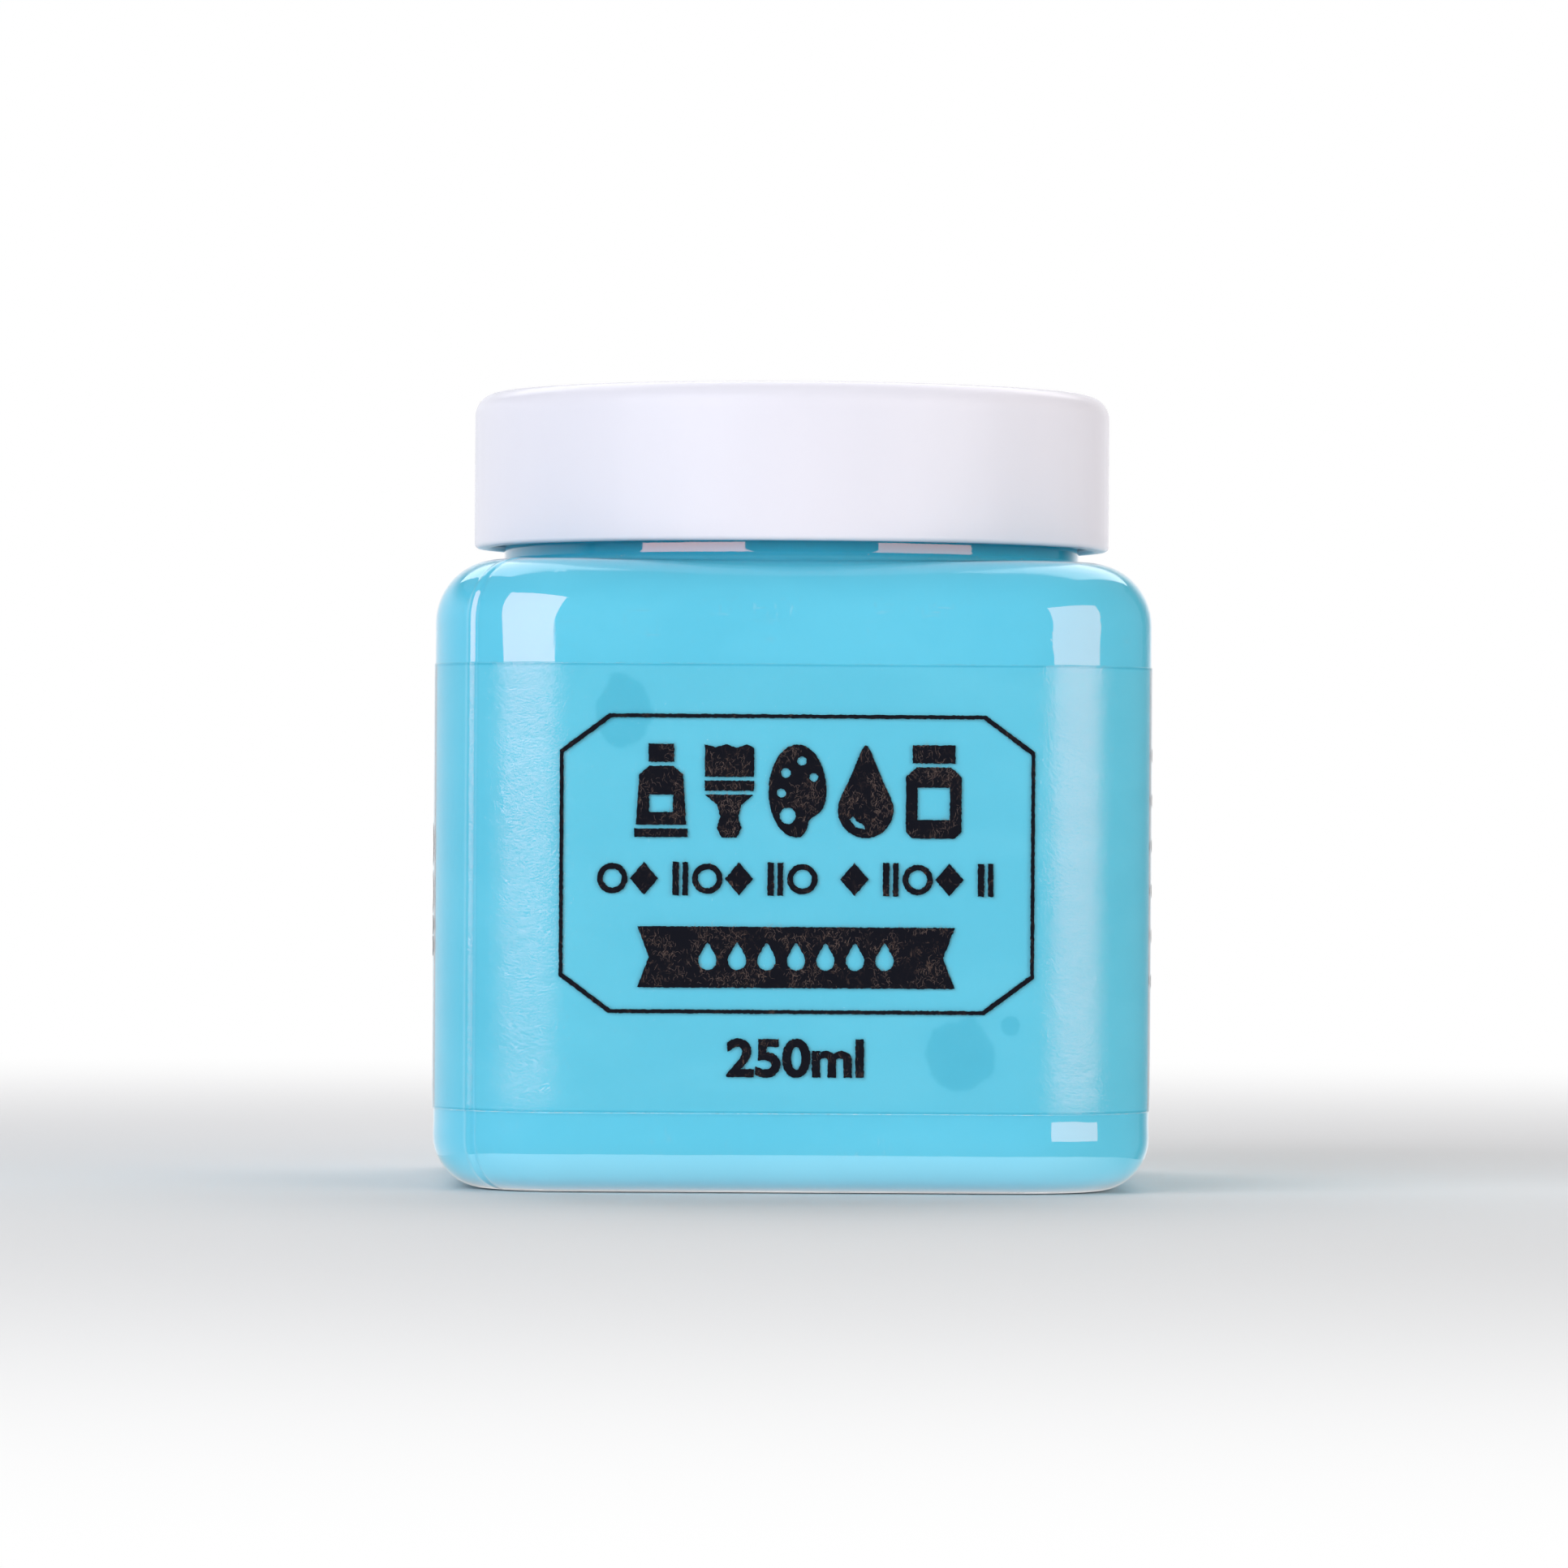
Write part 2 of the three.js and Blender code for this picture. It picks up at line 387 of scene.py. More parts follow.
def clear_wall_material():
    """Clear PET: see-through, glossy, faintly wavy, with scuffs above and below the label."""
    n = Nodes("clear_pet_wall")
    here = n.position()
    height = n.axis("Z")
    under_film = band(n, height, FILM_BOTTOM, FILM_TOP, 0.04 * MM)
    waves = n.noise(90.0)
    pimples = n.times(
        n.noise(1500.0, 1.0),
        band(n, height, 49.0 * MM, 55.5 * MM, 2.5 * MM),
        n.between(n.noise(210.0, 1.0), 0.46, 0.58),
        n.between(n.axis("X"), 5 * MM, 20 * MM),
    )
    upright = n.between(n.noise(3600.0, where=n.position((1.0, 1.0, 0.13))), 0.60, 0.72)
    level = n.between(n.noise(2600.0, 2.0, 0.4, where=n.position((0.14, 0.14, 1.0))), 0.60, 0.72)
    upper = n.between(height, 25 * MM, 30 * MM)
    scratches = n.math("MAXIMUM", n.times(level, upper), upright)
    patches = n.between(n.noise(170.0, 3.0), 0.50, 0.66)
    rubbed = n.math("MAXIMUM", band(n, height, 51.5 * MM, 55.0 * MM, 1.0 * MM),
                    band(n, height, 3.8 * MM, 6.6 * MM, 0.8 * MM))
    scuffed = n.times(scratches, patches, rubbed)
    relief = n.times_add(pimples, 0.16, waves)
    away = n.add("VectorMath", {0: here, 1: BLISTER}, operation="DISTANCE").outputs["Value"]
    relief = n.times_add(n.between(away, 0.25 * MM, 0.7 * MM, 1.0, 0.0), 0.35, relief)
    normal = n.bump(n.times_add(scuffed, 0.015, relief), 0.3, 0.0004)
    clear = n.add("BsdfTransparent", {"Color": (0.985, 0.985, 0.985)})
    rough = n.times_add(patches, 0.05, 0.03)
    rough = n.times_add(band(n, height, 58.2 * MM, SHOULDER_HEIGHT, 1.0 * MM), 0.13, rough)
    gloss = n.add("BsdfGlossy", {"Color": (1, 1, 1), "Roughness": rough, "Normal": normal})
    white = n.add("BsdfDiffuse", {"Color": (0.90, 0.93, 0.95)})
    veil = n.times_add(scuffed, 0.08, 0.03)
    dots = n.add("TexVoronoi", {"Vector": here, "Scale": 2600.0}).outputs["Distance"]
    specks = n.between(dots, 0.10, 0.16, 1.0, 0.0)
    crease = band(n, height, SHOULDER_HEIGHT - 0.5 * MM, SHOULDER_HEIGHT + 0.5 * MM, 0.3 * MM)
    dust = n.times(specks, n.between(n.noise(420.0), 0.52, 0.66), crease)
    veil = n.times_add(dust, 0.6, veil)
    marked = n.mix(veil, clear, white)
    share = n.times(gloss_share(n, 0.068), n.math("SUBTRACT", 1.0, under_film))
    return n.show(n.mix(share, marked, gloss))


def wetted_wall_material():
    """The wall's inside: clear where paint wets it, glossy above the paint."""
    n = Nodes("clear_pet_inside")
    height = n.axis("Z")
    dry = n.between(height, PAINT_LEVEL, PAINT_LEVEL + 0.6 * MM)
    clear = n.add("BsdfTransparent", {"Color": (0.99, 1.0, 1.0)})
    gloss = n.add("BsdfGlossy", {"Roughness": 0.05})
    share = n.times(gloss_share(n, 0.045), dry)
    return n.show(n.mix(share, clear, gloss))


BLOTS = (  # x, z, half width and half height of the spots where the film lies wet on the wall
    (-16.0 * MM, 45.0 * MM, 2.6 * MM, 3.5 * MM),
    (15.6 * MM, 13.1 * MM, 3.3 * MM, 3.4 * MM),
    (20.2 * MM, 15.9 * MM, 0.9 * MM, 0.95 * MM),
)


def film_material():
    """Clear satin film: a fine orange-peel grain, stuck close in a few spots, frayed at its edges, with
    painted shade just inside them.
    """
    n = Nodes("printed_film")
    height = n.axis("Z")
    wobble = n.times_add(n.noise(500.0), 0.5, -0.25)
    wetted = 0.0
    for x, z, half_width, half_height in BLOTS:
        dx = n.math("DIVIDE", n.math("SUBTRACT", n.axis("X"), x), half_width)
        dz = n.math("DIVIDE", n.math("SUBTRACT", height, z), half_height)
        reach = n.math("SQRT", n.math("ADD", n.times(dx, dx), n.times(dz, dz)))
        spot = n.between(n.math("ADD", reach, wobble), 0.90, 1.06, 1.0, 0.0)
        wetted = n.math("MAXIMUM", wetted, spot)
    front = n.between(n.axis("Y"), -0.030, -0.028, 1.0, 0.0)
    wetted = n.times(wetted, front)
    grain = n.noise(4600.0, 3.0, 0.3, 0.6)
    coarse = n.noise(900.0)
    normal = n.bump(n.times_add(coarse, 0.8, grain), 1.0, 0.000028)
    middle = (FILM_TOP + FILM_BOTTOM) / 2
    edge = n.math("ABSOLUTE", n.math("SUBTRACT", height, middle))
    rim = (FILM_TOP - FILM_BOTTOM) / 2
    # painted shade: a darker band just inside the film's top and bottom edges
    step = band(n, edge, rim - 0.22 * MM, rim - 0.12 * MM, 0.08 * MM)
    tint = n.mix_colour(wetted, (1.0, 1.0, 1.0), (0.87, 0.935, 0.945))
    tint = n.mix_colour(n.times(step, 0.8), tint, (0.62, 0.86, 0.90))
    clear = n.add("BsdfTransparent", {"Color": tint})
    sheen = n.add("BsdfGlossy", {"Color": (1, 1, 1), "Roughness": 0.12, "Normal": normal})
    milk = n.add("BsdfDiffuse", {"Color": (0.86, 0.95, 1.0)})
    haze = n.times(n.math("SUBTRACT", 1.0, wetted), 0.008)
    near_rim = n.between(edge, rim - 0.10 * MM, rim - 0.03 * MM)
    lower = n.between(height, middle, middle + 1 * MM, 1.0, 0.25)
    ragged = n.between(n.noise(1500.0, 3.0), 0.46, 0.62, 0.22, 1.0)
    lifted = n.times(near_rim, lower, ragged)
    haze = n.times_add(lifted, 0.38, haze, clamp=True)
    body = n.mix(haze, clear, milk)
    return n.show(n.mix(gloss_share(n, 0.060), body, sheen))


def film_back_material():
    """The film's stuck side: clear, with no shine of its own."""
    n = Nodes("film_adhesive_side")
    flecks = n.between(n.noise(500.0), 0.3, 0.7)
    tint = n.mix_colour(flecks, (0.998, 0.999, 1.0), (1.0, 1.0, 1.0))
    return n.show(n.add("BsdfTransparent", {"Color": tint}))


def paint_material(name, roughness, level):
    """Turquoise acrylic paint: opaque, with faint streaks of pigment, and painted shade in the neck under the
    cap.
    """
    n = Nodes(name)
    streaks = n.noise(60.0, 4.0, 0.6, where=n.position((1.0, 1.0, 2.2)))
    colour = n.mix_colour(n.between(streaks, 0.35, 0.7), (0.082, 0.535, 0.730), (0.094, 0.555, 0.750))
    # painted shade: the paint in the neck is darkened to stand in for the cap's shadow
    neck_painted_shade = n.between(n.axis("Z"), SHOULDER_HEIGHT + 0.1 * MM, SHOULDER_HEIGHT + 0.7 * MM)
    colour = n.mix_colour(neck_painted_shade, colour, (0.006, 0.43, 0.64))
    normal = n.bump(n.noise(400.0, 3.0), 0.1, 0.0001)
    return n.show(n.principled(colour, roughness, level, {"IOR": 1.48, "Normal": normal}))


def ink_material():
    """Black print, rubbed so that fine brown fibres of a backing show in it."""
    n = Nodes("black_ink")
    fibres = 0.0
    for turn, stretch, scale in ((0.0, 0.45, 1500.0), (1.9, 0.55, 1800.0), (4.1, 1.4, 1500.0)):
        place = n.position((1.0, 1.0, stretch))
        moved = n.add("Mapping", {"Vector": place, "Location": (turn, turn / 2, -turn)})
        field = n.noise(scale, 1.0, 1.2, where=moved)
        line = n.between(n.math("ABSOLUTE", n.math("SUBTRACT", field, 0.5)), 0.004, 0.022, 1.0, 0.0)
        parts = n.between(n.noise(scale * 0.7, where=moved), 0.54, 0.62)
        fibres = n.math("MAXIMUM", fibres, n.times(line, parts))
    rubbed = n.between(n.noise(420.0, 3.0), 0.42, 0.60, 0.1, 1.0)
    amount = n.times(fibres, rubbed)
    colour = n.mix_colour(amount, (0.0035, 0.004, 0.008), (0.060, 0.038, 0.032))
    grain = n.noise(3000.0)
    normal = n.bump(n.math("ADD", grain, amount), 0.4, 0.00004)
    return n.show(n.principled(colour, 0.7, 0.14, {"Normal": normal}))


def fibre_material():
    """Dull brown fibre."""
    n = Nodes("brown_fibre")
    colour = n.mix_colour(n.noise(900.0, 1.0), (0.10, 0.062, 0.048), (0.36, 0.25, 0.21))
    return n.show(n.principled(colour, 0.6, 0.3))


def cap_material():
    """White polypropylene: satin, slightly translucent, with faint moulding flow marks."""
    n = Nodes("white_polypropylene")
    flow = n.noise(120.0, 3.0, where=n.position((1.0, 1.0, 0.2)))
    colour = n.mix_colour(n.between(flow, 0.3, 0.7), (0.695, 0.682, 0.750), (0.707, 0.692, 0.760))
    relief = n.times_add(n.noise(2500.0), 0.015, n.noise(70.0, 1.0))
    normal = n.bump(relief, 0.15, 0.0004)
    return n.show(n.principled(colour, 0.26, 0.2, {
        "IOR": 1.49,
        "Subsurface Weight": 0.2,
        "Subsurface Radius": (1.0, 1.0, 1.0),
        "Subsurface Scale": 1.2 * MM,
        "Normal": normal,
    }))


def foam_material():
    """Off-white closed-cell foam."""
    n = Nodes("foam_wad")
    inputs = {"Vector": n.position(), "Scale": 2200.0}
    cells = n.add("TexVoronoi", inputs, feature="DISTANCE_TO_EDGE")
    walls = n.between(cells, 0.0, 0.12)
    colour = n.mix_colour(walls, (0.70, 0.69, 0.65), (0.84, 0.83, 0.79))
    return n.show(n.principled(colour, 0.8, 0.3, {"Normal": n.bump(walls, 0.35, 0.00008)}))


# ==== the pieces
BASE_CENTRE = CORNER_RADIUS - BASE_RADIUS
SHOULDER_CENTRE = CORNER_RADIUS - SHOULDER_RADIUS
HOLLOW = BASE_CENTRE - STANDING_RING - PUSH_UP_SLOPE


def base_slope(height):
    """Corner radius and height of each ring up the hollow under the base, from its top outwards."""
    return [(HOLLOW + PUSH_UP_SLOPE * t, height + PUSH_UP * (1 - smoothstep(t))) for t in spread(0, 1, 8)]


def outside_rings(depth, flat_steps=()):
    """Rings from the hollow under the base to the neck's root, depth under the jar's outside."""
    ring_inside = BASE_CENTRE - STANDING_RING
    rings = squares(base_slope(depth))
    rings += squares((ring_inside + STANDING_RING * t, depth) for t in flat_steps)
    rings += squares(arc(BASE_CENTRE, BASE_RADIUS, BASE_RADIUS - depth, -88, 0, EDGE_STEPS))
    rings += squares((CORNER_RADIUS - depth, z) for z in WALL_HEIGHTS)
    rings += squares(arc(SHOULDER_CENTRE, WALL_TOP, SHOULDER_RADIUS - depth, 0, 74, EDGE_STEPS))
    root_radius = NECK_RADIUS + NECK_ROOT_RADIUS
    rings += shoulder_rings(rings[-1], root_radius, depth)
    root = arc(root_radius, SHOULDER_HEIGHT + NECK_ROOT_RADIUS, NECK_ROOT_RADIUS + depth, 270, 180, 5)
    return rings + rounds(root[1:])


def jar_shell(outside, inside):
    """The bottle: one closed skin, from the hollow under the base up over the neck and down inside."""
    rings = outside_rings(0.0, flat_steps=(0.1, 0.5, 0.95))
    neck_bottom = SHOULDER_HEIGHT + NECK_ROOT_RADIUS
    rim_round = 0.4 * MM
    neck_heights = spread(neck_bottom, RIM_HEIGHT - rim_round, 64)[1:]
    rings += rounds((neck_radius_at, z) for z in neck_heights)
    rings += rounds(arc(NECK_RADIUS - rim_round, RIM_HEIGHT - rim_round, rim_round, 0, 90, 4)[1:])
    outer_rings = len(rings)
    rings += rounds(arc(BORE_RADIUS + rim_round, RIM_HEIGHT - rim_round, rim_round, 90, 180, 4))
    bore_bottom = SHOULDER_HEIGHT - WALL
    rings += rounds((BORE_RADIUS, z) for z in spread(RIM_HEIGHT - rim_round, bore_bottom, 10)[1:])
    rings += squares(reversed(arc(SHOULDER_CENTRE, WALL_TOP, SHOULDER_RADIUS - WALL, 0, 88, EDGE_STEPS)))
    rings += squares(reversed(arc(BASE_CENTRE, BASE_RADIUS, BASE_RADIUS - WALL, -88, 0, EDGE_STEPS)))
    rings += squares(reversed(base_slope(WALL)))
    return skin_object("jar_shell", rings, [outside, inside], outer_rings)


def paint_mass(body, surface):
    """The paint: it wets the bottle to its wall, and its free surface creeps up the bore."""
    depth = PAINT_DEPTH
    rings = outside_rings(depth)
    wall = BORE_RADIUS - 0.02 * MM
    level = PAINT_LEVEL - 0.25 * MM
    side = NECK_RADIUS - depth
    edge = 0.1 * MM
    rings += rounds([(side, level - edge), (side - edge, level), (BORE_RADIUS + edge, level)])
    sides = len(rings)
    creep = 0.55 * MM
    creep_width = 1.6 * MM

    def surface_height(angle, radius):
        place = Vector((radius * cos(angle), radius * sin(angle), 0.0))
        ripple = noise.noise(place * 95) * 0.22 * MM + noise.noise(place * 240) * 0.06 * MM
        near = exp(-(wall - radius) / creep_width)
        return level + ripple * (1 - near) + creep * near

    for share in spread(1.0, 0.02, 40):
        radius = wall * share
        rings.append([
            Vector((radius * cos(a), radius * sin(a), surface_height(a, radius))) for a in POLAR
        ])
    return skin_object("paint_mass", rings, [body, surface], sides)


def film_point(along, depth_out):
    """(x, y, normal) of a point round the body, along from the middle of the front towards +X, and
    depth_out the half width of the surface that it lies on."""
    radius = depth_out - CORNER_CENTRE
    side = 2 * CORNER_CENTRE
    bend = radius * pi / 2
    lap = 4 * (side + bend)
    s = (along + side / 2) % lap
    quarter = int(s // (side + bend))
    s -= quarter * (side + bend)
    if s <= side:
        local = Vector((s - side / 2, -depth_out))
        normal = Vector((0, -1))
    else:
        a = (s - side) / radius
        local = Vector((CORNER_CENTRE + radius * sin(a), -CORNER_CENTRE - radius * cos(a)))
        normal = Vector((sin(a), -cos(a)))
    turn = Matrix.Rotation(quarter * pi / 2, 2)
    return turn @ local, turn @ normal


FILM_ROUND = 4 * (2 * CORNER_CENTRE + (FILM_REST - CORNER_CENTRE) * pi / 2)


def parting_angle(normal):
    """Degrees round the corner that a normal of the body points out of, or None where the corner has
    no parting line."""
    if normal.x * normal.y <= 0:
        return None
    angle = math.degrees(math.atan2(abs(normal.y), abs(normal.x)))
    return 90 - angle if normal.x > 0 else angle


def wrap_film(film, back):
    """The printed film: one strip wrapped round the body, twice as thick where its ends are lapped on
    the back, with a step at the end on top."""
    start = FILM_ROUND / 2 - FILM_SEAM
    step = 0.5 * MM
    stations = []
    for s in spread(0, FILM_ROUND, int(FILM_ROUND / step))[:-1]:
        corner = parting_angle(film_point(start + s, FILM_REST)[1])
        by_parting = corner is not None and abs(corner - 45) < 9
        stations.extend(s + step * i / 5 for i in range(5 if by_parting else 1))
    stations += [FILM_LAP, FILM_LAP + 0.02 * MM]
    stations.sort()
    tall = FILM_TOP - FILM_BOTTOM
    rows = [0.0, 0.12 * MM] + spread(0.4 * MM, 4 * MM, 12) + spread(6 * MM, tall - 2.5 * MM, 14)
    rows += [tall - r for r in (1.0 * MM, 0.4 * MM, 0.12 * MM, 0.0)]
    vertices = []
    for side in (0, 1):
        for s in stations:
            lapped = smoothstep(s / (2 * MM)) if s <= FILM_LAP else 0.0
            half = FILM_REST + side * FILM_THICKNESS * (1 + lapped)
            place, normal = film_point(start + s, half)
            corner = parting_angle(normal)
            parting = 0.0 if corner is None else 0.95 * parting_depth(corner)
            for row, z in enumerate(rows):
                ragged = 0.0
                if row in (0, len(rows) - 1):
                    ragged = noise.noise(Vector((place.x, place.y, z)) * 1200) * 0.035 * MM
                point = place - normal * (parting + groove(FILM_BOTTOM + z))
                vertices.append((point.x, point.y, FILM_BOTTOM + z + ragged))
    across = len(rows)
    count = len(stations)
    each = count * across
    faces = []
    slots = []
    for i in range(count):
        first, second = i * across, (i + 1) % count * across
        for j in range(across - 1):
            inner = (first + j + 1, second + j + 1, second + j, first + j)
            outer = tuple(k + each for k in reversed(inner))
            faces.extend((inner, outer))
            slots.extend((1, 0))
        top = across - 1
        faces.append((first, second, second + each, first + each))
        faces.append((first + top + each, second + top + each, second + top, first + top))
        slots.extend((0, 0))
    return mesh_object("wrap_film", vertices, faces, [film, back], slots)


def cap_shell(plastic):
    """The screw cap: skirt, rounded top edge, gate mark on top and the thread inside."""
    ceiling = CAP_TOP - CAP_TOP_WALL
    foot = 0.45 * MM
    corner = 0.5 * MM
    edge = CAP_TOP - CAP_TOP_EDGE
    points = [(r * MM, ceiling) for r in (2, 14, 26)]
    points += arc(CAP_BORE_RADIUS - corner, ceiling - corner, corner, 90, 0, 4)
    points += [(cap_bore_at, z) for z in spread(ceiling - corner, CAP_BOTTOM + 0.3 * MM, 66)[1:]]
    points.append((CAP_BORE_RADIUS + 0.25 * MM, CAP_BOTTOM))
    points += arc(CAP_RADIUS - foot, CAP_BOTTOM + foot, foot, -90, 0, 5)
    points += [(CAP_RADIUS, z) for z in spread(CAP_BOTTOM + foot, edge, 8)[1:-1]]
    points += arc(CAP_RADIUS - CAP_TOP_EDGE, edge, CAP_TOP_EDGE, 0, 90, 10)
    points += [(r * MM, CAP_TOP) for r in (27, 20, 10, 3)]
    gate = ((1.6, 0), (1.35, 0.12), (0.5, 0.14), (0.35, 0.02))  # radius and depth of the gate mark
    points += [(r * MM, CAP_TOP - deep * MM) for r, deep in gate]
    return skin_object("cap_shell", rounds(points, turn_angles(288)), [plastic])


def foam_disc(foam):
    """The wad: a foam disc with soft edges and the ring that the rim has pressed into it."""
    soft = 0.22 * MM
    middle = (NECK_RADIUS + BORE_RADIUS) / 2
    half = (NECK_RADIUS - BORE_RADIUS) / 2

    def under(radius):
        pressed = smoothstep((half + 0.35 * MM - abs(radius - middle)) / (0.5 * MM))
        return WAD_BOTTOM + 0.13 * MM * pressed

    points = [(r * MM, under(r * MM)) for r in (1, 8, 16, 23)]
    points += [(r, under(r)) for r in spread(25.2 * MM, WAD_RADIUS - soft, 22)]
    points += arc(WAD_RADIUS - soft, WAD_BOTTOM + soft, soft, -90, 0, 4)[1:]
    points += arc(WAD_RADIUS - soft, WAD_TOP - soft, soft, 0, 90, 4)
    points += [(r * MM, WAD_TOP) for r in (24, 12, 1)]
    return skin_object("foam_disc", rounds(points, turn_angles(192)), [foam])


# ---- print
def rough_outline(points, rng, spacing=0.11 * MM, jitter=0.040 * MM):
    """A closed outline resampled finely, each point pushed a little off it, as worn print is."""
    fine = []
    for a, b in zip(points, points[1:] + points[:1]):
        a, b = Vector(a), Vector(b)
        steps = max(1, round((b - a).length / spacing))
        for i in range(steps):
            off = Vector((rng.uniform(-1, 1), rng.uniform(-1, 1))) * jitter
            fine.append(a + (b - a) * i / steps + off)
    return fine


PRINTED = []  # (outlines, number of fibres) of the print that holds fibres


def print_piece(name, outlines, ink, seed, fibres=0):
    """Ink shapes from closed outlines, in metres along the film and above the floor. An outline
    inside another is a hole. The flat shapes are filled, thickened and laid on the film."""
    rng = random.Random(seed)
    PRINTED.append((outlines, fibres))
    curve = bpy.data.curves.new(name, "CURVE")
    curve.dimensions = "2D"
    curve.fill_mode = "BOTH"
    curve.extrude = 0.5
    for outline in outlines:
        points = rough_outline(outline, rng)
        spline = curve.splines.new("POLY")
        spline.points.add(len(points) - 1)
        for point, p in zip(spline.points, points):
            point.co = (p.x / MM, p.y / MM, 0.0, 1.0)
        spline.use_cyclic_u = True
    carrier = add_object(name + "_outline", curve)
    graph = bpy.context.evaluated_depsgraph_get()
    mesh = bpy.data.meshes.new_from_object(carrier.evaluated_get(graph))
    bpy.data.objects.remove(carrier)
    for vertex in mesh.vertices:
        place, normal = film_point(vertex.co.x * MM, FILM_HALF)
        place += normal * (INK_LIFT + (INK_THICKNESS if vertex.co.z > 0 else 0.0))
        vertex.co = (place.x, place.y, vertex.co.y * MM)
    mesh.materials.clear()
    mesh.materials.append(ink)
    tidy = bmesh.new()
    tidy.from_mesh(mesh)
    bmesh.ops.remove_doubles(tidy, verts=tidy.verts, dist=1e-7)
    bmesh.ops.recalc_face_normals(tidy, faces=tidy.faces)
    tidy.to_mesh(mesh)
    tidy.free()
    return add_object(name, mesh)


def box_outline(x0, z0, x1, z1):
    return [(x0, z0), (x1, z0), (x1, z1), (x0, z1)]


def disc_outline(x, z, radius, steps=24):
    return [(x + radius * cos(a), z + radius * sin(a)) for a in turn_angles(steps)]


def drop_outline(x, z, half_width, half_height, tip, pinch, power, steps):
    """A drop about (x, z): an ellipse drawn up by tip to a point, and narrowed there by pinch."""
    outline = []
    for a in turn_angles(steps):
        point = max(0.0, sin(a)) ** power
        across = half_width * cos(a) * (1 - pinch * point)
        outline.append((x + across, z + half_height * sin(a) + tip * point))
    return outline


def chamfered_box(x, z, width, height, cut_x, cut_z):
    w, h = width / 2, height / 2
    return [
        (x - w + cut_x, z - h), (x + w - cut_x, z - h), (x + w, z - h + cut_z), (x + w, z + h - cut_z),
        (x + w - cut_x, z + h), (x - w + cut_x, z + h), (x - w, z + h - cut_z), (x - w, z - h + cut_z),
    ]


PRINT_X = 0.25 * MM
FRAME_Z = 30.8 * MM


def print_frame(ink):
    """A plain chamfered border line."""
    width, height, line = 44.3 * MM, 27.9 * MM, 0.36 * MM
    outer = chamfered_box(PRINT_X, FRAME_Z, width, height, 4.6 * MM, 3.4 * MM)
    inner = chamfered_box(PRINT_X, FRAME_Z, width - 2 * line, height - 2 * line, 4.5 * MM, 3.33 * MM)
    return print_piece("print_frame", [outer, inner], ink, 11)


def print_pictures(ink):
    """Five bold pictures in a row: a paint tube, a flat brush, a palette, a drop and a jar."""
    z = 37.6 * MM
    pitch = 6.35 * MM
    outlines = []

    def add(cell, points):
        outlines.append([(PRINT_X + (cell - 2) * pitch + x * MM, z + y * MM) for x, y in points])

    add(0, box_outline(-2.5, -4.35, 2.5, -3.55))
    add(0, [(-2.35, -3.2), (2.35, -3.2), (2.05, 1.5), (1.1, 2.3), (-1.1, 2.3), (-2.05, 1.5)])
    add(0, box_outline(-1.2, 2.65, 1.2, 4.35))
    add(0, box_outline(-1.1, -2.0, 1.1, -0.4))
    add(1, [(-2.3, 1.3), (2.3, 1.3), (2.3, 4.0), (1.6, 4.35), (0.7, 4.0), (-0.3, 4.35), (-1.3, 4.05),
            (-2.3, 4.3)])
    add(1, box_outline(-2.3, 0.0, 2.3, 0.95))
    add(1, [(-2.3, -0.35), (2.3, -0.35), (1.15, -1.3), (0.85, -2.4), (1.15, -3.5), (0.7, -4.35),
            (-0.7, -4.35), (-1.15, -3.5), (-0.85, -2.4), (-1.15, -1.3)])
    palette = []
    for a in turn_angles(48):
        bay = 0.9 * exp(-(((a - 5.4) / 0.35) ** 2))
        palette.append(((2.7 - bay) * cos(a), (4.35 - bay) * sin(a)))
    add(2, palette)
    thumb_hole = (-0.9, -2.3, 0.75)
    dabs = ((-1.5, -0.2, 0.42), (-1.1, 1.7, 0.45), (0.4, 2.8, 0.42), (1.5, 1.3, 0.4))
    for place in (thumb_hole, *dabs):
        add(2, disc_outline(*place))
    add(3, drop_outline(0, -1.75, 2.6, 2.6, tip=3.5, pinch=0.35, power=5, steps=48))
    add(3, [(-1.5, -2.6), (-0.9, -3.3), (0.0, -3.55), (-0.2, -3.1), (-0.8, -2.8), (-1.15, -2.3)])
    add(4, box_outline(-2.0, 2.65, 2.0, 4.35))
    add(4, [(-1.6, 2.3), (1.6, 2.3), (2.6, 1.4), (2.6, -3.7), (2.0, -4.35), (-2.0, -4.35), (-2.6, -3.7),
            (-2.6, 1.4)])
    add(4, box_outline(-1.5, -2.6, 1.5, 0.4))
    return print_piece("print_pictures", outlines, ink, 12, 1100)


def print_row(ink):
    """A row of small plain marks: two groups of rings, lozenges and pairs of bars."""
    z = 29.4 * MM
    half = 1.55 * MM
    stroke = 0.55 * MM
    outlines = []
    for i in range(12):
        x = PRINT_X + (-17.2 + i * 2.95 + (1.9 if i > 6 else 0.0)) * MM
        kind = i % 3
        if kind == 0:
            outlines += [disc_outline(x, z, half * 0.92), disc_outline(x, z, half * 0.92 - stroke)]
        elif kind == 1:
            reach = half * 0.85
            outlines.append([(x - reach, z), (x, z - half), (x + reach, z), (x, z + half)])
        else:
            for left, right in ((-0.55, 0.55), (1.15, 2.1)):
                outlines.append(box_outline(x + stroke * left, z - half, x + stroke * right, z + half))
    return print_piece("print_row", outlines, ink, 13, 60)


def print_banner(ink):
    """A plain swallow-tailed ribbon with a row of drops left clear."""
    z = 22.1 * MM
    half_h = 2.85 * MM
    half_w = 14.8 * MM
    notch = 1.1 * MM
    x = PRINT_X - 0.05 * MM
    ribbon = [
        (x - half_w, z - half_h), (x + half_w, z - half_h), (x + half_w - notch, z), (x + half_w, z + half_h),
        (x - half_w, z + half_h), (x - half_w + notch, z),
    ]
    outlines = [ribbon]
    for i in range(7):
        cx = x + (i - 3) * 2.75 * MM
        size = (0.85 * MM, 0.9 * MM)
        outlines.append(drop_outline(cx, z - 0.3 * MM, *size, tip=0.75 * MM, pinch=0.25, power=6, steps=28))
    return print_piece("print_banner", outlines, ink, 14, 900)


